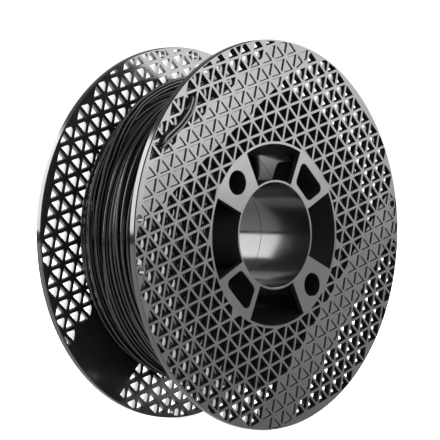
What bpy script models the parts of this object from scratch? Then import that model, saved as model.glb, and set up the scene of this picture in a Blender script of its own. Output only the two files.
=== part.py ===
"""Filament spool: two plug-together moulded halves with triangulated flanges, and wound filament.

The spool's axis is Y.  The front flange faces -Y, the rear flange faces +Y, +Z is up, and the origin
is on the axis, midway between the flanges.

Each half is laid out flat as a list of zones, and the layout is then raised into one closed solid.
A zone is an outline and a span: how deep below the outer face its material starts and ends.  A later
zone overrides an earlier one, and a span of None is an opening.
"""

import math

import bmesh
import bpy
from mathutils import Vector
from mathutils.geometry import delaunay_2d_cdt

MM = 0.001

# Whole spool
SPOOL_R = 100.0 * MM
SPOOL_WIDTH = 72.0 * MM
GAP = 0.3 * MM                                  # between neighbouring pieces
MID_DEPTH = (SPOOL_WIDTH - GAP) / 2             # outer face to the joint between the halves

# Flange plate and its triangular lattice
PLATE_T = 3.5 * MM
RIM_INNER_R = 98.9 * MM
ROW_PITCH = 8.265 * MM                          # between parallel ribs
RIB_WIDTH = 1.5 * MM
LATTICE_ANGLE = math.radians(15.0)              # of one of the three rib directions
LATTICE_CENTRE = Vector((-0.3 * MM, 0.3 * MM))  # middle of the triangle that holds the axis
MIN_OPENING_AREA = 4.0 * MM * MM                # smaller part-triangles are moulded solid
SOLID_BEYOND = 96.6 * MM                        # the rim is solid past this in three directions
SOLID_ANGLES = (45.0, 165.0, 285.0)
RIM_SIDES = 80

# Solid strips across a flange: direction of the strip's normal, offset of its middle, half width
FRONT_STRIPS = (
    (math.radians(124.0), 70.5 * MM, 9.5 * MM),
    (math.radians(316.0), 63.0 * MM, 9.5 * MM),
)
REAR_STRIPS = (
    (math.radians(134.0), 0.0, 22.0 * MM),
)

# Hub
DRUM_R = 47.7 * MM
DRUM_INNER_R = 46.6 * MM
TUBE_R = 28.3 * MM
BORE_R = 27.0 * MM
HUB_SIDES = 60
BORE_SIDES = 40
WINDOW_HALF_ANGLE = math.radians(25.7)
WINDOW_ANGLES = (0.0, 90.0, 180.0, 270.0)

# Plug and socket posts behind the round holes, wells behind the trapezoid holes
POST_RING_R = 39.0 * MM
POST_HOLE_R = 6.1 * MM
POST_R = 8.1 * MM
PLUG_R = POST_HOLE_R - GAP
PLUG_FLOOR_DEPTH = 28.0 * MM
PLUG_REACH = 6.0 * MM
POST_SIDES = 16
PLUG_ANGLE = math.radians(135.0)
SOCKET_ANGLE = math.radians(315.0)
WELL_ANGLES = (45.0, 225.0)
WELL_INNER_R = 30.8 * MM
WELL_OUTER_R = 43.9 * MM
WELL_INNER_HALF = math.radians(13.0)
WELL_OUTER_HALF = math.radians(14.6)
WELL_CORNER_R = 2.8 * MM
WELL_WALL = 1.2 * MM
WELL_DEPTH = 16.0 * MM

# Eyelets in the rim
EYELET_RING_R = 96.5 * MM
EYELET_R = 2.0 * MM
EYELET_SEAT_R = 3.1 * MM                        # solid round each eyelet
EYELET_SIDES = 8
EYELET_ANGLES = (-7.4, 7.4, 172.6, 187.4)

# Filament
STRAND_R = 0.875 * MM
STRAND_SIDES = 6
COIL_R = 75.0 * MM
COIL_HALF_WIDTH = SPOOL_WIDTH / 2 - PLATE_T - GAP
COIL_SIDES = 60
COIL_RIDGES = 3                                 # soft ridges across the coil's outer face
COIL_RIDGE_HEIGHT = 0.4 * MM
TURN_STEPS_PER_TURN = 40
TURN_R = COIL_R + GAP + STRAND_R + COIL_RIDGE_HEIGHT
TURN_START_ANGLE = math.radians(110.0)           # clear of where the free end slides away
TURN_SWEEP = math.radians(326.0)
TURN_Y = (-26.0 * MM, -9.0 * MM)                 # where the crossing turn starts and ends

# Free end, laced twice through the front flange: out at one opening, over the face, in at another.
# Each opening holds two passes side by side, placed as (x, z).
LACE_OUT = (Vector((-59.75, 70.75)) * MM, Vector((-57.65, 71.2)) * MM)
LACE_IN = (Vector((-80.8, 47.6)) * MM, Vector((-82.0, 45.6)) * MM)
LACE_LINE = (                                   # middle line between the two passes
    Vector((-61.8, 63.3)) * MM,
    Vector((-65.1, 59.6)) * MM,
    Vector((-69.0, 56.1)) * MM,
    Vector((-73.75, 52.9)) * MM,
    Vector((-78.15, 49.9)) * MM,
)
LACE_PITCH = 2.15 * MM                          # between the two passes
LACE_FACE_Y = -(SPOOL_WIDTH / 2 + GAP + STRAND_R)
LACE_INSIDE_Y = -(SPOOL_WIDTH / 2 - PLATE_T - GAP - STRAND_R)
LACE_BEND = 1.2 * MM                            # how soon a pass lies flat once it is out
LACE_SAMPLES = 3                                # path points for each stretch
LEAD_IN = (                                     # off the coil: radius, degrees, y
    (TURN_R, 76.5, -9.1 * MM),
    (77.0 * MM, 86.0, -12.5 * MM),
    (77.4 * MM, 97.0, -17.0 * MM),
    (80.5 * MM, 109.0, -23.0 * MM),
    (87.0 * MM, 120.0, -28.5 * MM),
)
TAIL_Y = -28.5 * MM                             # where the tip stops behind the flange

MERGE_DISTANCE = 0.001 * MM                     # corners of the layout closer than this are one

PLATE = (0.0, PLATE_T)
WALL = (0.0, MID_DEPTH)


def polar(radius, angle, centre=(0.0, 0.0)):
    """Point in the layout at this radius and angle about a centre."""
    return Vector((centre[0] + radius * math.cos(angle), centre[1] + radius * math.sin(angle)))


def circle(radius, sides, centre=(0.0, 0.0)):
    """Regular outline, with a corner at angle 0."""
    return [polar(radius, math.tau * k / sides, centre) for k in range(sides)]


def on_circle_side(radius, sides, angle):
    """Point at this angle on the side of a regular outline, and not on its true circle."""
    step = math.tau / sides
    off_middle = angle % step - step / 2
    return polar(radius * math.cos(step / 2) / math.cos(off_middle), angle)


def window_outline(middle):
    """Sector between the bore tube and the drum, whose outer side follows the drum's corners."""
    start = middle - WINDOW_HALF_ANGLE
    end = middle + WINDOW_HALF_ANGLE
    step = math.tau / HUB_SIDES
    first = math.floor(start / step) + 1
    last = math.ceil(end / step) - 1
    drum = circle(DRUM_INNER_R, HUB_SIDES)
    points = [polar(BORE_R, start), on_circle_side(DRUM_INNER_R, HUB_SIDES, start)]
    points += [drum[k % HUB_SIDES] for k in range(first, last + 1)]
    points += [on_circle_side(DRUM_INNER_R, HUB_SIDES, end), polar(BORE_R, end)]
    return points


def well_corners(middle):
    """Trapezoid that widens outwards, in counter-clockwise order."""
    return [
        polar(WELL_INNER_R, middle - WELL_INNER_HALF),
        polar(WELL_OUTER_R, middle - WELL_OUTER_HALF),
        polar(WELL_OUTER_R, middle + WELL_OUTER_HALF),
        polar(WELL_INNER_R, middle + WELL_INNER_HALF),
    ]


def grown(corners, distance):
    """Convex outline with each side moved outwards by a distance."""
    moved = []
    for start, end in zip(corners, corners[1:] + corners[:1]):
        along = (end - start).normalized()
        out = Vector((along.y, -along.x)) * distance
        moved.append((start + out, end + out))
    result = []
    for k, (start, end) in enumerate(moved):
        before, at = moved[k - 1]
        u, v = at - before, end - start
        t = (start - before).cross(v) / u.cross(v)
        result.append(before + u * t)
    return result


def rounded(corners, radius, steps=3):
    """Convex counter-clockwise outline with its corners rounded."""
    points = []
    count = len(corners)
    for k, corner in enumerate(corners):
        back = (corners[k - 1] - corner).normalized()
        ahead = (corners[(k + 1) % count] - corner).normalized()
        half = back.angle(ahead) / 2
        centre = corner + (back + ahead).normalized() * radius / math.sin(half)
        start = Vector((-back.y, back.x))
        turn = math.pi - 2 * half
        first = math.atan2(start.y, start.x)
        points += [polar(radius, first + turn * i / steps, centre) for i in range(steps + 1)]
    return points


def area(points):
    """Signed area of an outline."""
    return sum(a.cross(b) for a, b in zip(points, points[1:] + points[:1])) / 2


def clipped(points, keep):
    """Part of a convex outline where keep(point) is positive, cut straight across."""
    kept = []
    for start, end in zip(points, points[1:] + points[:1]):
        inside_start, inside_end = keep(start) > 0, keep(end) > 0
        if inside_start:
            kept.append(start)
        if inside_start != inside_end:
            low, high = (start, end) if inside_start else (end, start)
            for _ in range(24):
                middle = (low + high) / 2
                if keep(middle) > 0:
                    low = middle
                else:
                    high = middle
            kept.append(low)
    return kept


def beyond_lattice(point):
    """True in the three rim segments that are too thin for openings."""
    return any(point.dot(polar(1.0, math.radians(a))) > SOLID_BEYOND for a in SOLID_ANGLES)


def lattice_triangles():
    """Openings of the lattice before they are trimmed, over the whole flange."""
    side = ROW_PITCH / math.sin(math.pi / 3)
    across = polar(side, LATTICE_ANGLE)
    up = polar(side, LATTICE_ANGLE + math.pi / 3)
    corner = LATTICE_CENTRE + polar(side / math.sqrt(3), LATTICE_ANGLE + math.pi / 6)
    opening_r = side / math.sqrt(3) - RIB_WIDTH
    reach = math.ceil(2.4 * SPOOL_R / side)
    for i in range(-reach, reach + 1):
        for j in range(-reach, reach + 1):
            base = corner + across * i + up * j
            for share, turn in ((1 / 3, math.pi / 2), (2 / 3, math.pi / 6)):
                middle = base + (across + up) * share
                if middle.length < SPOOL_R and not beyond_lattice(middle):
                    spokes = (LATTICE_ANGLE + turn + math.tau * k / 3 for k in range(3))
                    yield [polar(opening_r, spoke, middle) for spoke in spokes]


def open_cells(strips):
    """Lattice openings inside the rim, outside the hub and clear of the solid strips."""
    cells = []
    for triangle in lattice_triangles():
        cell = clipped(triangle, lambda p: RIM_INNER_R - p.length)
        cell = clipped(cell, lambda p: p.length - DRUM_R)
        pieces = [cell]
        for angle, offset, half_width in strips:
            normal = polar(1.0, angle)
            pieces = [
                clipped(piece, lambda p, s=sign: s * (p.dot(normal) - offset) - half_width)
                for piece in pieces
                for sign in (-1.0, 1.0)
            ]
            pieces = [piece for piece in pieces if len(piece) > 2]
        cells += [piece for piece in pieces if abs(area(piece)) > MIN_OPENING_AREA]
    return cells


def half_zones(strips):
    """Zones of one moulded half, from its rim to its bore."""
    zones = [(circle(SPOOL_R, RIM_SIDES), PLATE)]
    zones += [(cell, None) for cell in open_cells(strips)]
    for degrees in EYELET_ANGLES:
        centre = polar(EYELET_RING_R, math.radians(degrees))
        zones.append((circle(EYELET_SEAT_R, EYELET_SIDES, centre), PLATE))
        zones.append((circle(EYELET_R, EYELET_SIDES, centre), None))
    zones.append((circle(DRUM_R, HUB_SIDES), WALL))
    zones.append((circle(DRUM_INNER_R, HUB_SIDES), PLATE))
    zones += [(window_outline(math.radians(degrees)), None) for degrees in WINDOW_ANGLES]
    plug = polar(POST_RING_R, PLUG_ANGLE)
    socket = polar(POST_RING_R, SOCKET_ANGLE)
    zones += [
        (circle(POST_R, POST_SIDES, plug), WALL),
        (circle(POST_HOLE_R, POST_SIDES, plug), (PLUG_FLOOR_DEPTH, MID_DEPTH)),
        (circle(PLUG_R, POST_SIDES, plug), (PLUG_FLOOR_DEPTH, MID_DEPTH + PLUG_REACH)),
        (circle(POST_R, POST_SIDES, socket), WALL),
        (circle(POST_HOLE_R, POST_SIDES, socket), None),
    ]
    for degrees in WELL_ANGLES:
        corners = well_corners(math.radians(degrees))
        outer = rounded(grown(corners, WELL_WALL), WELL_CORNER_R + WELL_WALL)
        floor = WELL_DEPTH + WELL_WALL
        zones.append((outer, (0.0, floor)))
        zones.append((rounded(corners, WELL_CORNER_R), (WELL_DEPTH, floor)))
    zones.append((circle(TUBE_R, BORE_SIDES), WALL))
    zones.append((circle(BORE_R, BORE_SIDES), None))
    return zones


def flat_layout(zones):
    """Triangles that follow every outline, each with the span of the last zone that holds it."""
    points, loops = [], []
    for outline, _ in zones:
        if area(outline) < 0:
            outline = outline[::-1]
        loops.append(list(range(len(points), len(points) + len(outline))))
        points += outline
    found = delaunay_2d_cdt(points, [], loops, 1, MERGE_DISTANCE)
    corners, triangles, holders = found[0], found[2], found[5]
    spans = [zones[max(held)][1] if held else None for held in holders]
    return corners, triangles, spans


def wall_pieces(own, other):
    """Stretches of depth where one side of an edge has material and the other has not."""
    if own is None:
        return []
    if other is None:
        return [own]
    pieces = [(own[0], min(own[1], other[0])), (max(own[0], other[1]), own[1])]
    return [(low, high) for low, high in pieces if high > low]


def raised_mesh(name, zones, place):
    """One closed mesh from a flat layout.  place(u, v, depth) gives the point in space."""
    corners, triangles, spans = flat_layout(zones)
    levels = [set() for _ in corners]
    sides = {}
    for triangle, span in zip(triangles, spans):
        if span is None:
            continue
        for k, start in enumerate(triangle):
            end = triangle[(k + 1) % len(triangle)]
            sides[(start, end)] = span
            levels[start].update(span)

    mesh = bmesh.new()
    made = {}

    def vertex(corner, depth):
        key = (corner, depth)
        if key not in made:
            made[key] = mesh.verts.new(place(corners[corner].x, corners[corner].y, depth))
        return made[key]

    for triangle, span in zip(triangles, spans):
        if span is not None:
            mesh.faces.new([vertex(corner, span[0]) for corner in reversed(triangle)])
            mesh.faces.new([vertex(corner, span[1]) for corner in triangle])
    for (start, end), span in sides.items():
        for low, high in wall_pieces(span, sides.get((end, start))):
            rise = [sorted(d for d in levels[c] if low <= d <= high) for c in (start, end)]
            stitch_wall(mesh, vertex, (start, end), rise)
    bmesh.ops.recalc_face_normals(mesh, faces=mesh.faces)
    data = bpy.data.meshes.new(name)
    mesh.to_mesh(data)
    mesh.free()
    return data


def stitch_wall(mesh, vertex, ends, rise):
    """Triangles between two upright lines that may carry different levels."""
    at = [0, 0]
    while at[0] < len(rise[0]) - 1 or at[1] < len(rise[1]) - 1:
        a = vertex(ends[0], rise[0][at[0]])
        b = vertex(ends[1], rise[1][at[1]])
        left_next = rise[0][at[0] + 1] if at[0] < len(rise[0]) - 1 else math.inf
        right_next = rise[1][at[1] + 1] if at[1] < len(rise[1]) - 1 else math.inf
        if left_next <= right_next:
            at[0] += 1
            mesh.faces.new((a, b, vertex(ends[0], left_next)))
        else:
            at[1] += 1
            mesh.faces.new((a, b, vertex(ends[1], right_next)))


def front_place(u, v, depth):
    """Front half: the layout is seen from -Y."""
    return Vector((u, depth - SPOOL_WIDTH / 2, v))


def rear_place(u, v, depth):
    """Rear half: the same moulding, turned half way round the diagonal in the X-Z plane."""
    return Vector((v, SPOOL_WIDTH / 2 - depth, u))


def swept_tube(name, path, radius, sides):
    """Round strand along a path, with flat ends.  Rings turn as little as they can."""
    mesh = bmesh.new()
    rings = []
    across = None
    for k, point in enumerate(path):
        along = (path[min(k + 1, len(path) - 1)] - path[max(k - 1, 0)]).normalized()
        if across is None:
            across = along.orthogonal()
        across = (across - along * across.dot(along)).normalized()
        up = along.cross(across)
        angles = (math.tau * i / sides for i in range(sides))
        rings.append([
            mesh.verts.new(point + (across * math.cos(a) + up * math.sin(a)) * radius)
            for a in angles
        ])
    for ring, following in zip(rings, rings[1:]):
        for i in range(sides):
            j = (i + 1) % sides
            mesh.faces.new((ring[i], ring[j], following[j], following[i]))
    mesh.faces.new(rings[0][::-1])
    mesh.faces.new(rings[-1])
    bmesh.ops.recalc_face_normals(mesh, faces=mesh.faces)
    data = bpy.data.meshes.new(name)
    mesh.to_mesh(data)
    mesh.free()
    return data


def coil_mesh(name):
    """Wound filament under the loose turns: a ring with soft ridges, spun round the Y axis."""
    inner_r = DRUM_R + GAP
    steps = 2 * COIL_RIDGES
    profile = [Vector((inner_r, COIL_HALF_WIDTH, 0.0)), Vector((inner_r, -COIL_HALF_WIDTH, 0.0))]
    for k in range(steps + 1):
        lift = COIL_RIDGE_HEIGHT if k % 2 else 0.0
        y = COIL_HALF_WIDTH * (2 * k / steps - 1)
        profile.append(Vector((COIL_R + lift, y, 0.0)))
    mesh = bmesh.new()
    verts = [mesh.verts.new(point) for point in profile]
    edges = [mesh.edges.new(pair) for pair in zip(verts, verts[1:] + verts[:1])]
    bmesh.ops.spin(
        mesh, geom=verts + edges, cent=(0, 0, 0), axis=(0, 1, 0),
        angle=math.tau, steps=COIL_SIDES, use_merge=True,
    )
    bmesh.ops.remove_doubles(mesh, verts=mesh.verts, dist=0.001 * MM)
    bmesh.ops.recalc_face_normals(mesh, faces=mesh.faces)
    data = bpy.data.meshes.new(name)
    mesh.to_mesh(data)
    mesh.free()
    return data


def crossing_turn_path():
    """Loose top turn that wanders across the coil from front to rear."""
    count = round(TURN_STEPS_PER_TURN * TURN_SWEEP / math.tau)
    path = []
    for k in range(count + 1):
        share = k / count
        eased = share * share * (3 - 2 * share)
        angle = TURN_START_ANGLE + TURN_SWEEP * share
        y = TURN_Y[0] + (TURN_Y[1] - TURN_Y[0]) * eased
        path.append(Vector((TURN_R * math.cos(angle), y, TURN_R * math.sin(angle))))
    return path


def at_depth(point, y):
    """Layout point (x, z) placed at this y."""
    return Vector((point.x, y, point.y))


def through_flange(hole, towards):
    """Points that carry the strand out through an opening and over its edge."""
    aim = (towards - hole).normalized()
    plate_middle = -(SPOOL_WIDTH - PLATE_T) / 2
    return [
        at_depth(hole, LACE_INSIDE_Y),
        at_depth(hole, plate_middle),
        at_depth(hole + aim * LACE_BEND * 0.25, (plate_middle + LACE_FACE_Y) / 2),
        at_depth(hole + aim * LACE_BEND, LACE_FACE_Y),
    ]


def lace_pass(index):
    """One pass over the face, from its way out to its way in."""
    shift = (0.5 - index) * LACE_PITCH
    line = []
    for k, point in enumerate(LACE_LINE):
        before = LACE_LINE[max(k - 1, 0)]
        after = LACE_LINE[min(k + 1, len(LACE_LINE) - 1)]
        along = (after - before).normalized()
        line.append(point + Vector((along.y, -along.x)) * shift)
    out = through_flange(LACE_OUT[index], line[0])
    back = through_flange(LACE_IN[index], line[-1])[::-1]
    return out + [at_depth(point, LACE_FACE_Y) for point in line] + back


def smooth_path(points, samples):
    """Catmull-Rom curve through the points, with knots spaced by the root of their distance."""
    ends = [points[0] * 2 - points[1]] + points + [points[-1] * 2 - points[-2]]
    path = []
    for p0, p1, p2, p3 in zip(ends, ends[1:], ends[2:], ends[3:]):
        t1 = math.sqrt((p1 - p0).length)
        t2 = t1 + math.sqrt((p2 - p1).length)
        t3 = t2 + math.sqrt((p3 - p2).length)
        for k in range(samples):
            t = t1 + (t2 - t1) * k / samples
            a1 = p0.lerp(p1, t / t1)
            a2 = p1.lerp(p2, (t - t1) / (t2 - t1))
            a3 = p2.lerp(p3, (t - t2) / (t3 - t2))
            b1 = a1.lerp(a2, t / t2)
            b2 = a2.lerp(a3, (t - t1) / (t3 - t1))
            path.append(b1.lerp(b2, (t - t1) / (t2 - t1)))
    return path + [points[-1]]


def free_end_path():
    """From the coil, twice through the front flange, to a tip behind it."""
    points = [at_depth(polar(r, math.radians(a)), y) for r, a, y in LEAD_IN]
    first, second = lace_pass(0), lace_pass(1)
    behind = (LACE_IN[0] + LACE_OUT[1]) / 2
    points += first + [at_depth(behind, LACE_INSIDE_Y + STRAND_R)] + second
    points.append(at_depth(LACE_IN[1], TAIL_Y))
    return smooth_path(points, LACE_SAMPLES)


def material(name, colour, roughness):
    """Plain plastic."""
    made = bpy.data.materials.new(name)
    made.use_nodes = True
    shader = made.node_tree.nodes["Principled BSDF"]
    shader.inputs["Base Color"].default_value = (*colour, 1.0)
    shader.inputs["Roughness"].default_value = roughness
    shader.inputs["Metallic"].default_value = 0.0
    return made


def add(name, data, finish):
    """Object for one node."""
    data.materials.append(finish)
    data.shade_smooth()
    data.set_sharp_from_angle(angle=math.radians(30.0))
    piece = bpy.data.objects.new(name, data)
    bpy.context.scene.collection.objects.link(piece)
    return piece


def clear_scene():
    for old in list(bpy.data.objects):
        bpy.data.objects.remove(old, do_unlink=True)


def main():
    clear_scene()
    moulded = material("moulded_black", (0.022, 0.022, 0.023), 0.28)
    wound = material("filament_black", (0.015, 0.015, 0.016), 0.35)
    add("front_half", raised_mesh("front_half", half_zones(FRONT_STRIPS), front_place), moulded)
    add("rear_half", raised_mesh("rear_half", half_zones(REAR_STRIPS), rear_place), moulded)
    add("filament_coil", coil_mesh("filament_coil"), wound)
    turn = swept_tube("filament_top_turn", crossing_turn_path(), STRAND_R, STRAND_SIDES)
    add("filament_top_turn", turn, wound)
    laced = swept_tube("filament_free_end", free_end_path(), STRAND_R, STRAND_SIDES)
    add("filament_free_end", laced, wound)


main()
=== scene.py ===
"""Looks for the filament spool: two moulded halves, the winding and the laced free end.

Every size is in metres.  The spool's axis is Y and the front flange faces -Y.  A moulded half is laid
out flat as zones, each an outline with a span (how deep below the outer face its material starts and
ends), and then raised into one closed mesh.  A later zone overrides an earlier one.
"""

import math

import bmesh
import bpy
import numpy as np
from mathutils import Matrix, Vector
from mathutils.geometry import delaunay_2d_cdt, intersect_point_line

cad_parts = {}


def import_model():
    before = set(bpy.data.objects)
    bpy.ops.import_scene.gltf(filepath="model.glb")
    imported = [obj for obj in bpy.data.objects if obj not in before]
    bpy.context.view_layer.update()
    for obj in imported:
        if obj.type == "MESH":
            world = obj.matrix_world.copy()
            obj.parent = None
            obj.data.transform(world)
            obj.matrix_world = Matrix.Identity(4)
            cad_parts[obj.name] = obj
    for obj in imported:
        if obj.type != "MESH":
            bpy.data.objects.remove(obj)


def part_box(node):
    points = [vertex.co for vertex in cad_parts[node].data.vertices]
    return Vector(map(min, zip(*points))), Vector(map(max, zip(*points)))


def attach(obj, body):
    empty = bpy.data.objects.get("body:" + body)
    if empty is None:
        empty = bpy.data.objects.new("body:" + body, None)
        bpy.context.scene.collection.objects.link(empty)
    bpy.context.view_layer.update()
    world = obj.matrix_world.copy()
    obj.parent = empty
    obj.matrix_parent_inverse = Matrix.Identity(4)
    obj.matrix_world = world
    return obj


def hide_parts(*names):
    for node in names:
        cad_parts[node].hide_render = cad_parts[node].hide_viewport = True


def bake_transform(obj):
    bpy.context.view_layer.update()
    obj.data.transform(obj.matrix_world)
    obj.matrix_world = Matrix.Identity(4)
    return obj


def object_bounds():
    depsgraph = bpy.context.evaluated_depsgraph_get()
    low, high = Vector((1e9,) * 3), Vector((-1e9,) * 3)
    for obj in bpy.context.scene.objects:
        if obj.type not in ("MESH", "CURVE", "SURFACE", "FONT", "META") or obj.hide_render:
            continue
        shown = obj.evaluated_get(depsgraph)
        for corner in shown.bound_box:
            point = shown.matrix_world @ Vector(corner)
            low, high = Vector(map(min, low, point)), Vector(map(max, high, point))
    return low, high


MM = 0.001

# Flange plate and lattice
PLATE_T = 3.5 * MM
HUB_RECESS = 0.75 * MM                          # the hub face sits this far below the rim
PANEL_RECESS = 0.76 * MM                        # and the solid panels below the ribs round them
RIM_INNER_R = 98.9 * MM
LATTICE_INNER_R = 48.0 * MM
ROW_PITCH = 8.265 * MM
RIB_WIDTH = 1.95 * MM
LATTICE_ANGLE = math.radians(15.0)
LATTICE_CENTRE = Vector((-0.3 * MM, 0.3 * MM))
MIN_OPENING_AREA = 4.0 * MM * MM
SOLID_BEYOND = 96.6 * MM                        # the rim is solid past this in three directions
SOLID_ANGLES = (45.0, 165.0, 285.0)
RIM_SIDES = 192
RIM_CHAMFER = 0.45 * MM
RIB_TAPER = 0.34 * MM                           # a rib narrows by this on each side
OPENING_TAPERS = (0.8 * MM, 0.0)                # depth of that taper from the outer and inner face
PANEL_TAPERS = (0.55 * MM, 0.0)
RIB_FALL_LENGTH = 47.0 * MM                     # over which the flange's face comes down to the hub
RIB_STEP = 0.03 * MM                            # left between the rib tops and the hub face
FRONT_STRIPS = (                                # direction of the normal, offset, half width
    (math.radians(124.0), 70.5 * MM, 9.5 * MM),
    (math.radians(316.0), 63.0 * MM, 9.5 * MM),
)
REAR_STRIPS = (
    (math.radians(134.0), 0.0, 22.0 * MM),
)

# Hub
JOINT_GAP = 0.3 * MM
DRUM_R = 47.7 * MM
DRUM_INNER_R = 46.6 * MM
TUBE_R = 28.3 * MM
BORE_R = 27.0 * MM
HUB_SIDES = 120
WINDOW_HALF_ANGLE = math.radians(25.7)
WINDOW_ANGLES = (0.0, 90.0, 180.0, 270.0)
HUB_CUT = (0.2 * MM, 0.0)                       # chamfer on the outer face, none inside
POST_RING_R = 39.0 * MM
POST_HOLE_R = 6.1 * MM
POST_R = 8.1 * MM
PLUG_FLOOR_DEPTH = 28.0 * MM
PLUG_REACH = 6.0 * MM
POST_SIDES = 48
PLUG_ANGLE = math.radians(135.0)
SOCKET_ANGLE = math.radians(315.0)
WELL_ANGLES = (45.0, 225.0)
WELL_INNER_R = 30.8 * MM
WELL_OUTER_R = 43.9 * MM
WELL_INNER_HALF = math.radians(13.0)
WELL_OUTER_HALF = math.radians(14.6)
WELL_CORNER_R = 2.8 * MM
WELL_WALL = 1.2 * MM
WELL_DEPTH = 16.0 * MM

# Eyelets in the rim
EYELET_RING_R = 96.5 * MM
EYELET_R = 2.0 * MM
EYELET_SEAT_R = 3.1 * MM
EYELET_SEAT_DEPTH = 0.4 * MM
EYELET_SIDES = 24
EYELET_ANGLES = (-7.4, 7.4, 172.6, 187.4)

# Filament
STRAND_R = 0.875 * MM
STRAND_SIDES = 10
STRAND_SHARP = 50.0                             # degrees; only a strand's end is sharp
INNER_LAYERS_R = 72.0 * MM                      # top of the plain layers under the loose ones
INNER_LAYERS_SHARP = 60.0                       # degrees; the grooves between strands are sharp
LAYER_RISE = 1.52 * MM
STRAND_STEPS = 5                                # profile points for each strand seen end on
RING_STEPS = 144
TURN_SAMPLES = 132                              # path points for each turn
TURN_PITCH = 1.8 * MM
WINDING_SEED = 11

# Lay of the outer turns: how far the strand strays, and how many samples it takes for each bend
LOOSE_SWAY = (1.5 * MM, TURN_SAMPLES // 3)
LOOSE_DRIFT = (1.6 * MM, 4 * TURN_SAMPLES)
OVER_TURNS = 12                                 # loose turns that cross back over the rest
OVER_REACH = 0.7                                # share of the half width that they come back to
OVER_SWAY = (2.6 * MM, TURN_SAMPLES // 2)
LAST_TURNS = 5                                  # whole turns on the way to the free end
LAST_SWAY = (2.0 * MM, TURN_SAMPLES // 2)
REST_SMOOTHING = 9                              # samples averaged where a turn climbs over another

# Free end, laced twice through the front flange; places are (x, z)
LACE_OUT = (Vector((-59.75, 70.75)) * MM, Vector((-57.65, 71.2)) * MM)
LACE_IN = (Vector((-80.8, 47.6)) * MM, Vector((-82.0, 45.6)) * MM)
LACE_LINE = (
    Vector((-61.8, 63.3)) * MM,
    Vector((-65.1, 59.6)) * MM,
    Vector((-69.0, 56.1)) * MM,
    Vector((-73.75, 52.9)) * MM,
    Vector((-78.15, 49.9)) * MM,
)
LACE_PITCH = 2.15 * MM
LACE_BEND = 1.2 * MM
LACE_BEND_START = 0.25                          # share of the bend made while still in the opening
LACE_SAMPLES = 8
LACE_SIDES = 14
LACE_GAP = 0.3 * MM
LEAD_IN = (                                     # off the winding: radius, degrees, y
    (78.9 * MM, 84.0, -11.5 * MM),
    (79.6 * MM, 95.0, -16.0 * MM),
    (82.0 * MM, 107.0, -22.0 * MM),
    (87.0 * MM, 119.0, -28.0 * MM),
)
LEAD_START_ANGLE = math.radians(76.0)
LEAD_START_Y = -9.0 * MM
TAIL_Y = -28.5 * MM

# Camera
CAMERA_PLACE = Vector((-0.6498, -0.6264, 0.0441))
CAMERA_TARGET = Vector((-0.0028, 0.0017, 0.0073))
CAMERA_UP = Vector((0.0318, 0.0, 0.9995))
CAMERA_LENS = 140.1
CAMERA_SENSOR = 36.0
CAMERA_CLIP = (0.05, 20.0)

NOISE_RANGE = (0.35, 0.65)                      # where nearly all of a noise texture's values lie

# Moulded plastic: roughness, colour and sheen, each pair the two ends of a slow variation
SATIN_ROUGHNESS = (0.11, 0.15)                  # faces
BORE_ROUGHNESS = (0.13, 0.17)                   # bore, posts and wells
FLANGE_ROUGHNESS = (0.09, 0.13)                 # rim and sides of the ribs
WINDOW_ROUGHNESS = (0.48, 0.58)                 # walls seen through the hub windows
MOULDED_GREY = (0.0045, 0.0065)
MOULDED_IOR = 1.52
FACE_SHEEN = 0.5                                # specular level of the faces
WINDOW_PAINTED_SHADE_SHEEN = 0.06                               # of the window walls, turned down as painted shade inside the hub windows
RIB_SIDE_PAINTED_SHADE_SHEEN = 0.38                           # and of the sides of the ribs, turned down as painted shade on the walls of the openings
FACE_FROM = 0.9                                 # a face is where the normal is this near the axis
FLANGE_FROM_R = DRUM_R + 0.2 * MM
HOLES_FROM = 0.42                               # |x z| / r^2 over the posts and wells, off the windows
SPARK_GRAIN = (0.12, 0.02 * MM)                 # bump strength and depth
SINK_WAVES = (0.10, 0.6 * MM)

# Filament finish
STRAND_ROUGHNESS = (0.15, 0.23)
STRAND_GREY = (0.004, 0.007)
STRAND_IOR = 1.46
STRAND_SHEEN = 0.36
DRAWN_GRAIN = (0.10, 0.03 * MM)

# Floor and backdrop
FLOOR_R = 2.2
FLOOR_SIDES = 96
FLOOR_GREY = (0.84, 0.9)                        # to the spool, and to the camera
FLOOR_ROUGHNESS = 0.8
FLOOR_GLOW = 0.7                                # added for the camera alone, so it reads as white
BACKDROP_LEVEL = 1.2

# Studio light around the spool.  Each panel: bearing of its middle, rise of its middle, half width,
# sine of its bottom, sine of its top, softness of the bottom edge, level
ROOM_LEVEL = 0.45
HORIZON_EDGE = 0.01
PANEL_SIDE_EDGE = 0.05
PANEL_TOP_EDGE = 0.03
LIGHT_PANELS = (
    (math.radians(-42.0), 0.0, math.radians(62.0), -0.015, 0.80, 0.045, 4.4),
    (math.radians(-84.0), 0.0, math.radians(43.5), -0.015, 0.80, 0.045, 5.7),
    (math.radians(-80.0), 0.0, math.radians(34.0), -0.06, 0.05, 0.03, 3.0),
    (math.radians(122.0), math.radians(17.0), math.radians(30.0), 0.012, 0.60, 0.008, 11.2),
)

MERGE_DISTANCE = 0.001 * MM
PARALLEL = 1e-12                                # cross product below which two sides are in line
CLIP_HALVINGS = 24
KEEP = "keep"                                   # a zone that only adds lines to the layout
NO_CUT = (0.0, 0.0)


# ---------------------------------------------------------------- outlines

def polar(radius, angle, centre=(0.0, 0.0)):
    """Point in the layout at this radius and angle about a centre."""
    return Vector((centre[0] + radius * math.cos(angle), centre[1] + radius * math.sin(angle)))


def circle(radius, sides, centre=(0.0, 0.0)):
    """Regular outline, with a corner at angle 0."""
    return [polar(radius, math.tau * k / sides, centre) for k in range(sides)]


def on_circle_side(radius, angle):
    """Point at this angle on the side of a hub outline, and not on its true circle."""
    step = math.tau / HUB_SIDES
    off_middle = angle % step - step / 2
    return polar(radius * math.cos(step / 2) / math.cos(off_middle), angle)


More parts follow.
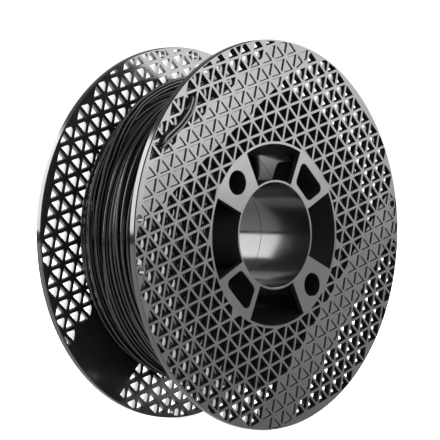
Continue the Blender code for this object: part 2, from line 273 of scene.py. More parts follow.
def hub_arc(radius, start, end):
    """Points along a hub outline from one angle to a larger one."""
    step = math.tau / HUB_SIDES
    corners = circle(radius, HUB_SIDES)
    middle = range(math.floor(start / step) + 1, math.ceil(end / step))
    inner = [corners[k % HUB_SIDES] for k in middle]
    return [on_circle_side(radius, start)] + inner + [on_circle_side(radius, end)]


def window_outline(middle, growth=0.0):
    """Opening between the bore tube and the drum, or the same one grown all round."""
    half = WINDOW_HALF_ANGLE
    outer_r = DRUM_INNER_R + growth
    inner_r = TUBE_R - growth
    outer = hub_arc(outer_r, middle - half - growth / outer_r, middle + half + growth / outer_r)
    inner = hub_arc(inner_r, middle - half - growth / inner_r, middle + half + growth / inner_r)
    return outer + inner[::-1]


def well_corners(middle):
    """Trapezoid that widens outwards, in counter-clockwise order."""
    return [
        polar(WELL_INNER_R, middle - WELL_INNER_HALF),
        polar(WELL_OUTER_R, middle - WELL_OUTER_HALF),
        polar(WELL_OUTER_R, middle + WELL_OUTER_HALF),
        polar(WELL_INNER_R, middle + WELL_INNER_HALF),
    ]


def area(points):
    """Signed area of an outline."""
    return sum(a.cross(b) for a, b in zip(points, points[1:] + points[:1])) / 2


def grown(corners, distance):
    """Convex outline with each side moved outwards by a distance."""
    if area(corners) < 0:
        corners = corners[::-1]
    moved = []
    for start, end in zip(corners, corners[1:] + corners[:1]):
        along = (end - start).normalized()
        out = Vector((along.y, -along.x)) * distance
        moved.append((start + out, end + out))
    result = []
    for k, (start, end) in enumerate(moved):
        before, at = moved[k - 1]
        u, v = at - before, end - start
        turn = u.cross(v)
        if abs(turn) < PARALLEL:
            result.append(start)
        else:
            result.append(before + u * (start - before).cross(v) / turn)
    return result


def rounded(corners, radius, steps=6):
    """Convex counter-clockwise outline with its corners rounded."""
    points = []
    count = len(corners)
    for k, corner in enumerate(corners):
        back = (corners[k - 1] - corner).normalized()
        ahead = (corners[(k + 1) % count] - corner).normalized()
        half = back.angle(ahead) / 2
        centre = corner + (back + ahead).normalized() * radius / math.sin(half)
        start = Vector((-back.y, back.x))
        turn = math.pi - 2 * half
        first = math.atan2(start.y, start.x)
        points += [polar(radius, first + turn * i / steps, centre) for i in range(steps + 1)]
    return points


def clipped(points, keep):
    """Part of a convex outline where keep(point) is positive, cut straight across."""
    kept = []
    for start, end in zip(points, points[1:] + points[:1]):
        inside_start, inside_end = keep(start) > 0, keep(end) > 0
        if inside_start:
            kept.append(start)
        if inside_start != inside_end:
            low, high = (start, end) if inside_start else (end, start)
            for _ in range(CLIP_HALVINGS):
                middle = (low + high) / 2
                if keep(middle) > 0:
                    low = middle
                else:
                    high = middle
            kept.append(low)
    return kept


# ---------------------------------------------------------------- lattice

def beyond_lattice(point):
    """True in the three rim segments that are too thin for openings."""
    return any(point.dot(polar(1.0, math.radians(a))) > SOLID_BEYOND for a in SOLID_ANGLES)


def lattice_triangles(spool_r):
    """Openings of the lattice before they are trimmed, over the whole flange."""
    side = ROW_PITCH / math.sin(math.pi / 3)
    across = polar(side, LATTICE_ANGLE)
    up = polar(side, LATTICE_ANGLE + math.pi / 3)
    corner = LATTICE_CENTRE + polar(side / math.sqrt(3), LATTICE_ANGLE + math.pi / 6)
    opening_r = side / math.sqrt(3) - RIB_WIDTH
    reach = math.ceil(2.4 * spool_r / side)
    for i in range(-reach, reach + 1):
        for j in range(-reach, reach + 1):
            base = corner + across * i + up * j
            for share, turn in ((1 / 3, math.pi / 2), (2 / 3, math.pi / 6)):
                middle = base + (across + up) * share
                if middle.length < spool_r and not beyond_lattice(middle):
                    spokes = (LATTICE_ANGLE + turn + math.tau * k / 3 for k in range(3))
                    yield [polar(opening_r, spoke, middle) for spoke in spokes]


def split_by_strip(piece, strip):
    """Parts of an opening outside a solid strip, and the part inside it."""
    angle, offset, half_width = strip
    normal = polar(1.0, angle)
    beyond = clipped(piece, lambda p: p.dot(normal) - offset - half_width)
    before = clipped(piece, lambda p: offset - half_width - p.dot(normal))
    within = clipped(piece, lambda p: offset + half_width - p.dot(normal))
    within = clipped(within, lambda p: p.dot(normal) - offset + half_width)
    return [beyond, before], within


def big_enough(cells):
    """Cells that are worth moulding."""
    return [cell for cell in cells if len(cell) > 2 and abs(area(cell)) > MIN_OPENING_AREA]


def lattice_cells(strips, spool_r):
    """Open lattice cells, and the recessed panels that fill the strips between the ribs."""
    openings, panels = [], []
    for triangle in lattice_triangles(spool_r):
        cell = clipped(triangle, lambda p: RIM_INNER_R - p.length)
        cell = clipped(cell, lambda p: p.length - LATTICE_INNER_R)
        pieces = [cell]
        for strip in strips:
            outside = []
            for piece in pieces:
                apart, within = split_by_strip(piece, strip)
                outside += [part for part in apart if len(part) > 2]
                panels.append(within)
            pieces = outside
        openings += pieces
    return big_enough(openings), big_enough(panels)


# ---------------------------------------------------------------- moulded halves

def half_zones(strips, spool_r, mid_depth):
    """Zones of one moulded half: (outline, span, cut), cut being its chamfer outside and inside."""
    hub_plate = (HUB_RECESS, PLATE_T)
    wall = (HUB_RECESS, mid_depth)
    zones = [
        (circle(spool_r, RIM_SIDES), (0.0, PLATE_T), (RIM_CHAMFER, RIM_CHAMFER)),
        (circle(spool_r - RIM_CHAMFER, RIM_SIDES), KEEP, NO_CUT),
    ]
    openings, panels = lattice_cells(strips, spool_r)
    for panel in panels:
        zones.append((grown(panel, RIB_TAPER), KEEP, NO_CUT))
    for opening in openings:
        zones.append((grown(opening, RIB_TAPER), KEEP, NO_CUT))
    zones += [(panel, (PANEL_RECESS, PLATE_T), PANEL_TAPERS) for panel in panels]
    zones += [(opening, None, OPENING_TAPERS) for opening in openings]
    for degrees in EYELET_ANGLES:
        centre = polar(EYELET_RING_R, math.radians(degrees))
        seat = circle(EYELET_SEAT_R, EYELET_SIDES, centre)
        zones.append((seat, (EYELET_SEAT_DEPTH, PLATE_T), NO_CUT))
        zones.append((circle(EYELET_R, EYELET_SIDES, centre), None, NO_CUT))
    zones.append((circle(LATTICE_INNER_R, HUB_SIDES), hub_plate, NO_CUT))
    zones.append((circle(DRUM_R, HUB_SIDES), wall, NO_CUT))
    zones.append((circle(DRUM_INNER_R, HUB_SIDES), hub_plate, NO_CUT))
    zones += post_zones(mid_depth, wall)
    zones += well_zones()
    zones.append((circle(TUBE_R, HUB_SIDES), wall, NO_CUT))
    for degrees in WINDOW_ANGLES:
        middle = math.radians(degrees)
        zones.append((window_outline(middle, HUB_CUT[0]), KEEP, NO_CUT))
        zones.append((window_outline(middle), None, HUB_CUT))
    zones.append((circle(BORE_R + HUB_CUT[0], HUB_SIDES), KEEP, NO_CUT))
    zones.append((circle(BORE_R, HUB_SIDES), None, HUB_CUT))
    return zones


def post_zones(mid_depth, wall):
    """The plug post, blind and longer than the half, and the open socket post."""
    plug = polar(POST_RING_R, PLUG_ANGLE)
    socket = polar(POST_RING_R, SOCKET_ANGLE)
    plug_r = POST_HOLE_R - JOINT_GAP
    zones = [(circle(POST_R, POST_SIDES, centre), wall, NO_CUT) for centre in (plug, socket)]
    for centre in (plug, socket):
        zones.append((circle(POST_HOLE_R + HUB_CUT[0], POST_SIDES, centre), KEEP, NO_CUT))
    zones.append((circle(POST_HOLE_R, POST_SIDES, socket), None, HUB_CUT))
    zones.append((circle(POST_HOLE_R, POST_SIDES, plug), (PLUG_FLOOR_DEPTH, mid_depth), HUB_CUT))
    reach = mid_depth + PLUG_REACH
    zones.append((circle(plug_r, POST_SIDES, plug), (PLUG_FLOOR_DEPTH, reach), NO_CUT))
    return zones


def well_zones():
    """The two rounded trapezoid wells."""
    zones = []
    floor = WELL_DEPTH + WELL_WALL
    for degrees in WELL_ANGLES:
        corners = well_corners(math.radians(degrees))
        outer = rounded(grown(corners, WELL_WALL), WELL_CORNER_R + WELL_WALL)
        lip = rounded(grown(corners, HUB_CUT[0]), WELL_CORNER_R + HUB_CUT[0])
        zones.append((outer, (HUB_RECESS, floor), NO_CUT))
        zones.append((lip, KEEP, NO_CUT))
        zones.append((rounded(corners, WELL_CORNER_R), (WELL_DEPTH, floor), HUB_CUT))
    return zones


def inside(outline, points):
    """Which of the points lie inside an outline."""
    found = np.zeros(len(points), dtype=bool)
    for start, end in zip(outline, outline[1:] + outline[:1]):
        if start.y == end.y:
            continue
        crosses = (points[:, 1] < start.y) != (points[:, 1] < end.y)
        share = (points[:, 1] - start.y) / (end.y - start.y)
        found ^= crosses & (points[:, 0] < start.x + share * (end.x - start.x))
    return found


def cut_at(point, zones):
    """Chamfer of a layout point that lies on a side of a chamfered outline."""
    for outline, _, cut in zones:
        if cut == NO_CUT:
            continue
        for start, end in zip(outline, outline[1:] + outline[:1]):
            near, share = intersect_point_line(point, start, end)
            if 0 <= share <= 1 and (near.xy - point).length < 2 * MERGE_DISTANCE:
                return cut
    return NO_CUT


def flat_layout(zones):
    """Triangles that follow every outline, with each triangle's span and each corner's cut."""
    points, loops, cuts = [], [], []
    for outline, _, cut in zones:
        loops.append(list(range(len(points), len(points) + len(outline))))
        points += outline
        cuts += [cut] * len(outline)
    edges = [pair for loop in loops for pair in zip(loop, loop[1:] + loop[:1])]
    found = delaunay_2d_cdt(points, edges, [], 0, MERGE_DISTANCE)
    corners, triangles, sources = found[0], found[2], found[3]
    flat = np.array([tuple(corner) for corner in corners])
    middles = flat[np.array(triangles)].mean(axis=1)
    cover = np.full(len(triangles), -1)
    for k, (outline, span, _) in enumerate(zones):
        if span != KEEP:
            cover[inside(outline, middles)] = k
    spans = [zones[k][1] if k >= 0 else None for k in cover]
    corner_cuts = []
    for corner, source in zip(corners, sources):
        if source:
            corner_cuts.append(max(cuts[s] for s in source))
        else:
            corner_cuts.append(cut_at(corner, zones))
    return corners, triangles, spans, corner_cuts


def rib_fall(radius):
    """How far the dished flange has come down here to meet the hub face."""
    share = 1.0 - (radius - LATTICE_INNER_R) / RIB_FALL_LENGTH
    return (HUB_RECESS - RIB_STEP) * min(max(share, 0.0), 1.0)


def cut_depth(level, radius, cut):
    """Depth of a corner of the layout at one level, with the flange's dish and its own chamfer."""
    depth = level
    if level in (0.0, PANEL_RECESS):
        depth += rib_fall(radius)
    if level == 0.0 or (level == HUB_RECESS and cut == HUB_CUT):
        depth += cut[0]
    elif level == PLATE_T:
        depth -= cut[1]
    return depth


def wall_pieces(own, other):
    """Stretches of depth where one side of an edge has material and the other has not."""
    if own is None:
        return []
    if other is None:
        return [own]
    pieces = [(own[0], min(own[1], other[0])), (max(own[0], other[1]), own[1])]
    return [(low, high) for low, high in pieces if high > low]


def stitch_wall(mesh, vertex, ends, rise):
    """Triangles between two upright lines that may carry different levels."""
    at = [0, 0]
    while at[0] < len(rise[0]) - 1 or at[1] < len(rise[1]) - 1:
        a = vertex(ends[0], rise[0][at[0]])
        b = vertex(ends[1], rise[1][at[1]])
        left_next = rise[0][at[0] + 1] if at[0] < len(rise[0]) - 1 else math.inf
        right_next = rise[1][at[1] + 1] if at[1] < len(rise[1]) - 1 else math.inf
        if left_next <= right_next:
            at[0] += 1
            mesh.faces.new((a, b, vertex(ends[0], left_next)))
        else:
            at[1] += 1
            mesh.faces.new((a, b, vertex(ends[1], right_next)))


def raised_mesh(name, zones, place):
    """One closed mesh from a flat layout.  place(u, v, depth) gives the point in space."""
    corners, triangles, spans, cuts = flat_layout(zones)
    levels = [set() for _ in corners]
    sides = {}
    for triangle, span in zip(triangles, spans):
        if span is None:
            continue
        for k, start in enumerate(triangle):
            sides[(start, triangle[(k + 1) % 3])] = span
            levels[start].update(span)
    mesh = bmesh.new()
    made = {}

    def vertex(corner, level):
        key = (corner, level)
        if key not in made:
            depth = cut_depth(level, corners[corner].length, cuts[corner])
            made[key] = mesh.verts.new(place(corners[corner].x, corners[corner].y, depth))
        return made[key]

    for triangle, span in zip(triangles, spans):
        if span is not None:
            mesh.faces.new([vertex(corner, span[0]) for corner in reversed(triangle)])
            mesh.faces.new([vertex(corner, span[1]) for corner in triangle])
    for (start, end), span in sides.items():
        for low, high in wall_pieces(span, sides.get((end, start))):
            rise = [sorted(d for d in levels[c] if low <= d <= high) for c in (start, end)]
            stitch_wall(mesh, vertex, (start, end), rise)
    bmesh.ops.recalc_face_normals(mesh, faces=mesh.faces)
    data = bpy.data.meshes.new(name)
    mesh.to_mesh(data)
    mesh.free()
    return data


def add_piece(name, data, finish, sharp_degrees=30.0):
    """Object in the scene, shaded smooth but for its sharp edges."""
    data.materials.append(finish)
    data.shade_smooth()
    data.set_sharp_from_angle(angle=math.radians(sharp_degrees))
    piece = bpy.data.objects.new(name, data)
    bpy.context.scene.collection.objects.link(piece)
    return piece


def add_halves(finish):
    """Both moulded halves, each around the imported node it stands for."""
    front_low, front_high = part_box("front_half")
    rear_low, rear_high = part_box("rear_half")
    spool_r = front_high.x
    mid_depth = -front_low.y - JOINT_GAP / 2

    def front_place(u, v, depth):
        return Vector((u, front_low.y + depth, v))

    def rear_place(u, v, depth):
        return Vector((v, rear_high.y - depth, u))

    jobs = (
        ("front_moulding", "front_half", FRONT_STRIPS, front_place),
        ("rear_moulding", "rear_half", REAR_STRIPS, rear_place),
    )
    for name, node, strips, place in jobs:
        zones = half_zones(strips, spool_r, mid_depth)
        piece = add_piece(name, raised_mesh(name, zones, place), finish)
        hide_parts(node)
        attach(piece, node)


# ---------------------------------------------------------------- filament

def tube_data(name, path, across, radius, sides):
    """Closed round strand along a path of points, given one side direction for each point."""
    path = np.asarray(path)
    along = np.gradient(path, axis=0)
    along /= np.linalg.norm(along, axis=1)[:, None]
    across = across - along * (across * along).sum(1)[:, None]
    across /= np.linalg.norm(across, axis=1)[:, None]
    up = np.cross(along, across)
    turn = np.arange(sides) * math.tau / sides
    ring = across[:, None, :] * np.cos(turn)[None, :, None]
    ring = ring + up[:, None, :] * np.sin(turn)[None, :, None]
    verts = (path[:, None, :] + ring * radius).reshape(-1, 3)
    start = np.arange(len(path) - 1)[:, None] * sides
    here = np.arange(sides)[None, :]
    after = (here + 1) % sides
    quads = np.stack([start + here, start + after, start + sides + after, start + sides + here], 2)
    faces = quads.reshape(-1, 4).tolist()
    last = (len(path) - 1) * sides
    faces.append(list(range(sides))[::-1])
    faces.append(list(range(last, last + sides)))
    data = bpy.data.meshes.new(name)
    data.from_pydata(verts.tolist(), [], faces)
    return data


def sway(rng, count, size):
    """Gentle random curve, given how far it strays and how many samples it takes for each bend."""
    reach, spacing = size
    knots = rng.uniform(-1.0, 1.0, count // spacing + 4)
    at = np.arange(count) / spacing
    k = at.astype(int)
    t = at - k
    t = t * t * (3 - 2 * t)
    return reach * (knots[k] * (1 - t) + knots[k + 1] * t)


def winding_lay(rng, half_width):
    """Where along Y the strand lies at each sample: a tidy layer, then looser and looser ones."""
    turns = int(2 * half_width / TURN_PITCH)
    count = turns * TURN_SAMPLES
    sweep = np.linspace(-half_width, half_width, count)
    loose = sweep[::-1] + sway(rng, count, LOOSE_SWAY)
    loose += sway(rng, count, LOOSE_DRIFT)
    over_count = OVER_TURNS * TURN_SAMPLES
    over = np.linspace(-half_width, OVER_REACH * half_width, over_count)
    over += sway(rng, over_count, OVER_SWAY)
    last_count = LAST_TURNS * TURN_SAMPLES + round(TURN_SAMPLES * LEAD_START_ANGLE / math.tau)
    last = np.linspace(over[-1], LEAD_START_Y, last_count)
    last += sway(rng, last_count, LAST_SWAY) * np.linspace(1, 0, last_count)
    lay = np.concatenate([sweep, loose, over, last])
    return np.clip(lay, -half_width, half_width)


def resting_radius(lay, base_r):
    """Radius of each sample, laid on whatever earlier turns it crosses."""
    gap = 2 * STRAND_R
    turns = math.ceil(len(lay) / TURN_SAMPLES)
    padded = np.full(turns * TURN_SAMPLES, np.nan)
    padded[: len(lay)] = lay
    y = padded.reshape(turns, TURN_SAMPLES)
    r = np.full_like(y, base_r)
    for k in range(1, turns):
        apart = np.abs(y[:k] - y[k])
        lift = np.sqrt(np.clip(gap * gap - apart * apart, 0.0, None))
        rest = np.where(apart < gap, r[:k] + lift, base_r)
        r[k] = np.nanmax(np.vstack([rest, np.full((1, TURN_SAMPLES), base_r)]), axis=0)
    flat = r.reshape(-1)[: len(lay)]
    padded = np.pad(flat, REST_SMOOTHING // 2, mode="edge")
    return np.convolve(padded, np.ones(REST_SMOOTHING) / REST_SMOOTHING, mode="valid")


def add_outer_turns(finish):
    """Loose outer turns of the winding, one strand laid turn after turn.  Returns its last point."""
    rng = np.random.default_rng(WINDING_SEED)
    half_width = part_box("filament_coil")[1].y - STRAND_R
    lay = winding_lay(rng, half_width)
    radius = resting_radius(lay, INNER_LAYERS_R + STRAND_R)
    angle = np.arange(len(lay)) * math.tau / TURN_SAMPLES
    out = np.stack([np.cos(angle), np.zeros_like(angle), np.sin(angle)], 1)
    path = out * radius[:, None]
    path[:, 1] = lay
    data = tube_data("filament_outer_turns", path, out, STRAND_R, STRAND_SIDES)
    piece = add_piece("filament_outer_turns", data, finish, STRAND_SHARP)
    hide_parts("filament_top_turn")
    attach(piece, "winding")
    return Vector(path[-1].tolist())


def strand_row(start, end, count, out):
    """Points (r, y) over a row of strands seen end on, between two points a radius below their tops."""
    points = []
    for k in range(count):
        for i in range(STRAND_STEPS):
            angle = math.pi * i / STRAND_STEPS
            share = (k + 0.5 - 0.5 * math.cos(angle)) / count
            rise = STRAND_R * math.sin(angle)
            points.append((start[0] + (end[0] - start[0]) * share + out[0] * rise,
                           start[1] + (end[1] - start[1]) * share + out[1] * rise))
    return points


def add_inner_layers(finish):
    """Layers below the loose turns, turned as one ring whose faces show each layer's strand."""
    low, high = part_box("filament_coil")
    inner_r = DRUM_R + JOINT_GAP
    layers = round((INNER_LAYERS_R - inner_r) / LAYER_RISE)
    turns = round(2 * high.y / TURN_PITCH)
    front_y, back_y = low.y + STRAND_R, high.y - STRAND_R
    top_r = INNER_LAYERS_R - STRAND_R
    profile = strand_row((inner_r, front_y), (INNER_LAYERS_R, front_y), layers, (0.0, -1.0))
    profile += strand_row((top_r, front_y), (top_r, back_y), turns, (1.0, 0.0))
    profile += strand_row((INNER_LAYERS_R, back_y), (inner_r, back_y), layers, (0.0, 1.0))
    profile.append((inner_r, back_y))
    mesh = bmesh.new()
    verts = [mesh.verts.new((r, y, 0.0)) for r, y in profile]
    edges = [mesh.edges.new(pair) for pair in zip(verts, verts[1:] + verts[:1])]
    bmesh.ops.spin(mesh, geom=verts + edges, cent=(0, 0, 0), axis=(0, 1, 0),
                   angle=math.tau, steps=RING_STEPS, use_merge=True)
    bmesh.ops.remove_doubles(mesh, verts=mesh.verts, dist=MERGE_DISTANCE)
    bmesh.ops.recalc_face_normals(mesh, faces=mesh.faces)
    data = bpy.data.meshes.new("filament_inner_layers")
    mesh.to_mesh(data)
    mesh.free()
    piece = add_piece("filament_inner_layers", data, finish, INNER_LAYERS_SHARP)
    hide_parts("filament_coil")
    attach(piece, "winding")


def at_depth(point, y):
    """Layout point (x, z) placed at this y."""
    return Vector((point.x, y, point.y))


def through_flange(hole, towards, face_y):
    """Points that carry the strand out through an opening and over its edge."""
    aim = (towards - hole).normalized()
    middle = face_y + PLATE_T / 2
    over = face_y - LACE_GAP - STRAND_R
    return [
        at_depth(hole, face_y + PLATE_T + LACE_GAP + STRAND_R),
        at_depth(hole, middle),
        at_depth(hole + aim * LACE_BEND * LACE_BEND_START, (middle + over) / 2),
        at_depth(hole + aim * LACE_BEND, over),
    ]


def lace_pass(index, face_y):
    """One pass over the face, from its way out to its way in."""
    shift = (0.5 - index) * LACE_PITCH
    line = []
    for k, point in enumerate(LACE_LINE):
        before = LACE_LINE[max(k - 1, 0)]
        after = LACE_LINE[min(k + 1, len(LACE_LINE) - 1)]
        along = (after - before).normalized()
        line.append(point + Vector((along.y, -along.x)) * shift)
    out = through_flange(LACE_OUT[index], line[0], face_y)
    back = through_flange(LACE_IN[index], line[-1], face_y)[::-1]
    return out + [at_depth(point, face_y - LACE_GAP - STRAND_R) for point in line] + back


def smooth_path(points, samples):
    """Catmull-Rom curve through the points, with knots spaced by the root of their distance."""
    ends = [points[0] * 2 - points[1]] + points + [points[-1] * 2 - points[-2]]
    path = []
    for p0, p1, p2, p3 in zip(ends, ends[1:], ends[2:], ends[3:]):
        t1 = math.sqrt((p1 - p0).length)
        t2 = t1 + math.sqrt((p2 - p1).length)
        t3 = t2 + math.sqrt((p3 - p2).length)
        for k in range(samples):
            t = t1 + (t2 - t1) * k / samples
            a1 = p0.lerp(p1, t / t1)
            a2 = p1.lerp(p2, (t - t1) / (t2 - t1))
            a3 = p2.lerp(p3, (t - t2) / (t3 - t2))
            b1 = a1.lerp(a2, t / t2)
            b2 = a2.lerp(a3, (t - t1) / (t3 - t1))
            path.append(b1.lerp(b2, (t - t1) / (t2 - t1)))
    return path + [points[-1]]


def carried_sides(path):
    """Side direction at each point of a path, turning as little as it can."""
    across = (path[1] - path[0]).orthogonal().normalized()
    sides = []
    for k in range(len(path)):
        along = (path[min(k + 1, len(path) - 1)] - path[max(k - 1, 0)]).normalized()
        across = (across - along * across.dot(along)).normalized()
        sides.append(across.copy())
    return sides


def add_laced_end(finish, start):
    """Free end: off the winding, twice through the front flange, to a tip behind it."""
    face_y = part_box("front_half")[0].y
    points = [start]
    points += [at_depth(polar(r, math.radians(a)), y) for r, a, y in LEAD_IN]
    first, second = lace_pass(0, face_y), lace_pass(1, face_y)
    behind = (LACE_IN[0] + LACE_OUT[1]) / 2
    inside_y = face_y + PLATE_T + LACE_GAP + STRAND_R
    points += first + [at_depth(behind, inside_y + STRAND_R)] + second
    points.append(at_depth(LACE_IN[1], TAIL_Y))
    path = smooth_path(points, LACE_SAMPLES)
    sides = np.array([tuple(v) for v in carried_sides(path)])
    data = tube_data("filament_laced_end", [tuple(p) for p in path], sides, STRAND_R, LACE_SIDES)
    piece = add_piece("filament_laced_end", data, finish, STRAND_SHARP)
    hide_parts("filament_free_end")
    at_depth(LACE_OUT[1], inside_y)
    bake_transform(piece)


# ---------------------------------------------------------------- materials

def node_material(name):
    """New node material, its tree and its shader."""
    made = bpy.data.materials.new(name)
    made.use_nodes = True
    tree = made.node_tree
    return made, tree, tree.nodes["Principled BSDF"]


def noise(tree, scale, detail=4.0):
    """Noise texture in object space."""
    texture = tree.nodes.new("ShaderNodeTexNoise")
    texture.inputs["Scale"].default_value = scale
    texture.inputs["Detail"].default_value = detail
    place = tree.nodes.new("ShaderNodeTexCoord")
    tree.links.new(place.outputs["Object"], texture.inputs["Vector"])
    return texture.outputs["Fac"]


def remap(tree, value, low, high):
    """Noise value, in its usual range, stretched to another range."""
    node = tree.nodes.new("ShaderNodeMapRange")
    node.inputs["From Min"].default_value = NOISE_RANGE[0]
    node.inputs["From Max"].default_value = NOISE_RANGE[1]
    node.inputs["To Min"].default_value = low
    node.inputs["To Max"].default_value = high
    tree.links.new(value, node.inputs["Value"])
    return node.outputs["Result"]


def math_node(tree, operation, first, second=None):
    """Result of a maths node on two sockets or numbers."""
    node = tree.nodes.new("ShaderNodeMath")
    node.operation = operation
    for slot, value in enumerate((first, second)):
        if value is None:
            continue
        if isinstance(value, (int, float)):
            node.inputs[slot].default_value = value
        else:
            tree.links.new(value, node.inputs[slot])
    return node.outputs["Value"]


def mixed(tree, share, first, second):
    """First value where the share is 0, second where it is 1."""
    node = tree.nodes.new("ShaderNodeMix")
    for name, value in (("Factor", share), ("A", first), ("B", second)):
        if isinstance(value, (int, float)):
            node.inputs[name].default_value = value
        else:
            tree.links.new(value, node.inputs[name])
    return node.outputs["Result"]


def grey(tree, level):
    """Neutral colour of this level."""
    node = tree.nodes.new("ShaderNodeCombineColor")
    for channel in ("Red", "Green", "Blue"):
        tree.links.new(level, node.inputs[channel])
    return node.outputs["Color"]


def bump(tree, height, size, normal=None):
    """Bump node on a height, given its strength and depth."""
    node = tree.nodes.new("ShaderNodeBump")
    node.inputs["Strength"].default_value, node.inputs["Distance"].default_value = size
    tree.links.new(height, node.inputs["Height"])
    if normal is not None:
        tree.links.new(normal, node.inputs["Normal"])
    return node.outputs["Normal"]


def moulded_masks(tree):
    """Shares, 0 or 1: flat faces, flange, rim, and all that is polished (bore, posts, wells, flange)."""
    geometry = tree.nodes.new("ShaderNodeNewGeometry")
    facing = tree.nodes.new("ShaderNodeSeparateXYZ")
    tree.links.new(geometry.outputs["True Normal"], facing.inputs["Vector"])
    flat = math_node(tree, "GREATER_THAN", math_node(tree, "ABSOLUTE", facing.outputs["Y"]), FACE_FROM)
    place = tree.nodes.new("ShaderNodeSeparateXYZ")
    tree.links.new(tree.nodes.new("ShaderNodeTexCoord").outputs["Object"], place.inputs["Vector"])
    squares = [math_node(tree, "MULTIPLY", place.outputs[k], place.outputs[k]) for k in ("X", "Z")]
    from_axis = math_node(tree, "SQRT", math_node(tree, "ADD", *squares))
    bore = math_node(tree, "LESS_THAN", from_axis, (BORE_R + TUBE_R) / 2)
    flange = math_node(tree, "GREATER_THAN", from_axis, FLANGE_FROM_R)
    rim = math_node(tree, "GREATER_THAN", from_axis, RIM_INNER_R)
    product = math_node(tree, "MULTIPLY", place.outputs["X"], place.outputs["Z"])
    diagonal = math_node(tree, "DIVIDE", math_node(tree, "ABSOLUTE", product),
                         math_node(tree, "ADD", *squares))
    holes = math_node(tree, "GREATER_THAN", diagonal, HOLES_FROM)
    polished = math_node(tree, "MAXIMUM", math_node(tree, "MAXIMUM", bore, flange), holes)
    return flat, flange, rim, polished


def moulded_material():
    """Black moulded plastic: satin faces, polished bore, holes and ribs, and matt window walls. The
    window walls and the sides of the ribs reflect less, as painted shade.
    """
    made, tree, shader = node_material("moulded_black")
    flat, flange, rim, polished = moulded_masks(tree)
    gloss = mixed(tree, flange, remap(tree, noise(tree, 60.0), *BORE_ROUGHNESS),
                  remap(tree, noise(tree, 60.0), *FLANGE_ROUGHNESS))
    wall = mixed(tree, polished, remap(tree, noise(tree, 90.0), *WINDOW_ROUGHNESS), gloss)
    satin = remap(tree, noise(tree, 90.0), *SATIN_ROUGHNESS)
    tree.links.new(mixed(tree, flat, wall, satin), shader.inputs["Roughness"])
    tree.links.new(grey(tree, remap(tree, noise(tree, 25.0), *MOULDED_GREY)),
                   shader.inputs["Base Color"])
    grain = bump(tree, noise(tree, 2600.0, 2.0), SPARK_GRAIN)
    tree.links.new(bump(tree, noise(tree, 55.0, 1.0), SINK_WAVES, grain), shader.inputs["Normal"])
    # painted shade: the sides of the ribs get a lower specular level, so the walls of the openings read
    # darker
    rib_side_shade_mask = math_node(tree, "MULTIPLY", math_node(tree, "SUBTRACT", flange, rim),
                         math_node(tree, "SUBTRACT", 1.0, flat))
    sheen = mixed(tree, rib_side_shade_mask, FACE_SHEEN, RIB_SIDE_PAINTED_SHADE_SHEEN)
    # painted shade: the walls seen through the hub windows get a far lower specular level, so they read
    # black
    outside_window_shade = math_node(tree, "MAXIMUM", flat, polished)
    tree.links.new(mixed(tree, outside_window_shade, WINDOW_PAINTED_SHADE_SHEEN, sheen), shader.inputs["Specular IOR Level"])
    shader.inputs["IOR"].default_value = MOULDED_IOR
    return made


def filament_material():
    """Drawn black strand: soft gloss with a fine grain and slight shade changes."""
    made, tree, shader = node_material("filament_black")
    tree.links.new(remap(tree, noise(tree, 140.0), *STRAND_ROUGHNESS), shader.inputs["Roughness"])
    tree.links.new(grey(tree, remap(tree, noise(tree, 45.0), *STRAND_GREY)),
                   shader.inputs["Base Color"])
    tree.links.new(bump(tree, noise(tree, 900.0, 3.0), DRAWN_GRAIN), shader.inputs["Normal"])
    shader.inputs["IOR"].default_value = STRAND_IOR
    shader.inputs["Specular IOR Level"].default_value = STRAND_SHEEN
    return made


def floor_material():
    """Plain pale matt floor."""
    made, tree, shader = node_material("pale_floor")
    seen = tree.nodes.new("ShaderNodeLightPath").outputs["Is Camera Ray"]
    tree.links.new(grey(tree, mixed(tree, seen, *FLOOR_GREY)), shader.inputs["Base Color"])
    shader.inputs["Roughness"].default_value = FLOOR_ROUGHNESS
    shader.inputs["Emission Color"].default_value = (1.0, 1.0, 1.0, 1.0)
    tree.links.new(math_node(tree, "MULTIPLY", seen, FLOOR_GLOW), shader.inputs["Emission Strength"])
    return made


# ---------------------------------------------------------------- stage

def add_floor(low_z):
    """Round pale floor under the spool."""
    mesh = bmesh.new()
    bmesh.ops.create_circle(mesh, cap_ends=True, segments=FLOOR_SIDES, radius=FLOOR_R)
    data = bpy.data.meshes.new("floor")
    mesh.to_mesh(data)
    mesh.free()
    data.materials.append(floor_material())
    floor = bpy.data.objects.new("floor", data)
    floor.location.z = low_z
    bpy.context.scene.collection.objects.link(floor)


def toward(tree, direction, axis):
    """How far a direction points along an axis, from -1 to 1."""
    node = tree.nodes.new("ShaderNodeVectorMath")
    node.operation = "DOT_PRODUCT"
    tree.links.new(direction, node.inputs[0])
    node.inputs[1].default_value = axis
    return node.outputs["Value"]


def soft_step(tree, value, low, high):
    """0 below one value and 1 above the other, smooth between them."""
    node = tree.nodes.new("ShaderNodeMapRange")
    node.interpolation_type = "SMOOTHSTEP"
    node.inputs["From Min"].default_value = low
    node.inputs["From Max"].default_value = high
    tree.links.new(value, node.inputs["Value"])
    return node.outputs["Result"]


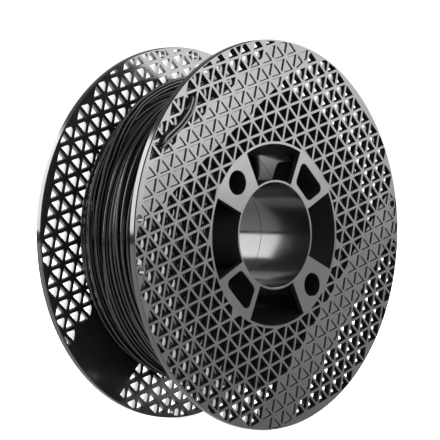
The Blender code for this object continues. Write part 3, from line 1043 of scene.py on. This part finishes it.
def light_panel(tree, direction, height, panel):
    """Light from one soft-edged panel."""
    bearing, rise, half, bottom, top, edge, level = panel
    flat = polar(math.cos(rise), bearing)
    axis = (flat.x, flat.y, math.sin(rise))
    side = math.cos(half)
    near = soft_step(tree, toward(tree, direction, axis), side - PANEL_SIDE_EDGE, side + PANEL_SIDE_EDGE)
    above = soft_step(tree, height, bottom - edge, bottom + edge)
    below = soft_step(tree, height, top + PANEL_TOP_EDGE, top - PANEL_TOP_EDGE)
    shape = math_node(tree, "MULTIPLY", math_node(tree, "MULTIPLY", above, below), near)
    return math_node(tree, "MULTIPLY", shape, level)


def set_world():
    """White to the camera; to everything else a dim room with bright soft panels."""
    world = bpy.data.worlds.new("studio")
    bpy.context.scene.world = world
    world.use_nodes = True
    tree = world.node_tree
    background = tree.nodes["Background"]
    direction = tree.nodes.new("ShaderNodeTexCoord").outputs["Generated"]
    height = toward(tree, direction, CAMERA_UP.normalized())
    light = soft_step(tree, height, -HORIZON_EDGE, HORIZON_EDGE)
    light = math_node(tree, "MULTIPLY", light, ROOM_LEVEL)
    for panel in LIGHT_PANELS:
        light = math_node(tree, "ADD", light, light_panel(tree, direction, height, panel))
    seen = tree.nodes.new("ShaderNodeLightPath").outputs["Is Camera Ray"]
    tree.links.new(grey(tree, mixed(tree, seen, light, BACKDROP_LEVEL)), background.inputs["Color"])


def add_camera():
    """Camera at the product view."""
    data = bpy.data.cameras.new("camera")
    data.lens = CAMERA_LENS
    data.sensor_width = CAMERA_SENSOR
    data.clip_start, data.clip_end = CAMERA_CLIP
    camera = bpy.data.objects.new("camera", data)
    bpy.context.scene.collection.objects.link(camera)
    forward = (CAMERA_TARGET - CAMERA_PLACE).normalized()
    right = forward.cross(CAMERA_UP).normalized()
    up = right.cross(forward)
    turn = Matrix((right, up, -forward)).transposed().to_4x4()
    camera.matrix_world = Matrix.Translation(CAMERA_PLACE) @ turn
    bpy.context.scene.camera = camera


def main():
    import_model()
    cad_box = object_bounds()
    moulded = moulded_material()
    filament = filament_material()
    add_halves(moulded)
    add_inner_layers(filament)
    lead_start = add_outer_turns(filament)
    add_laced_end(filament, lead_start)
    add_floor(cad_box[0].z)
    set_world()
    add_camera()
    bpy.context.scene.view_settings.view_transform = "Standard"


main()
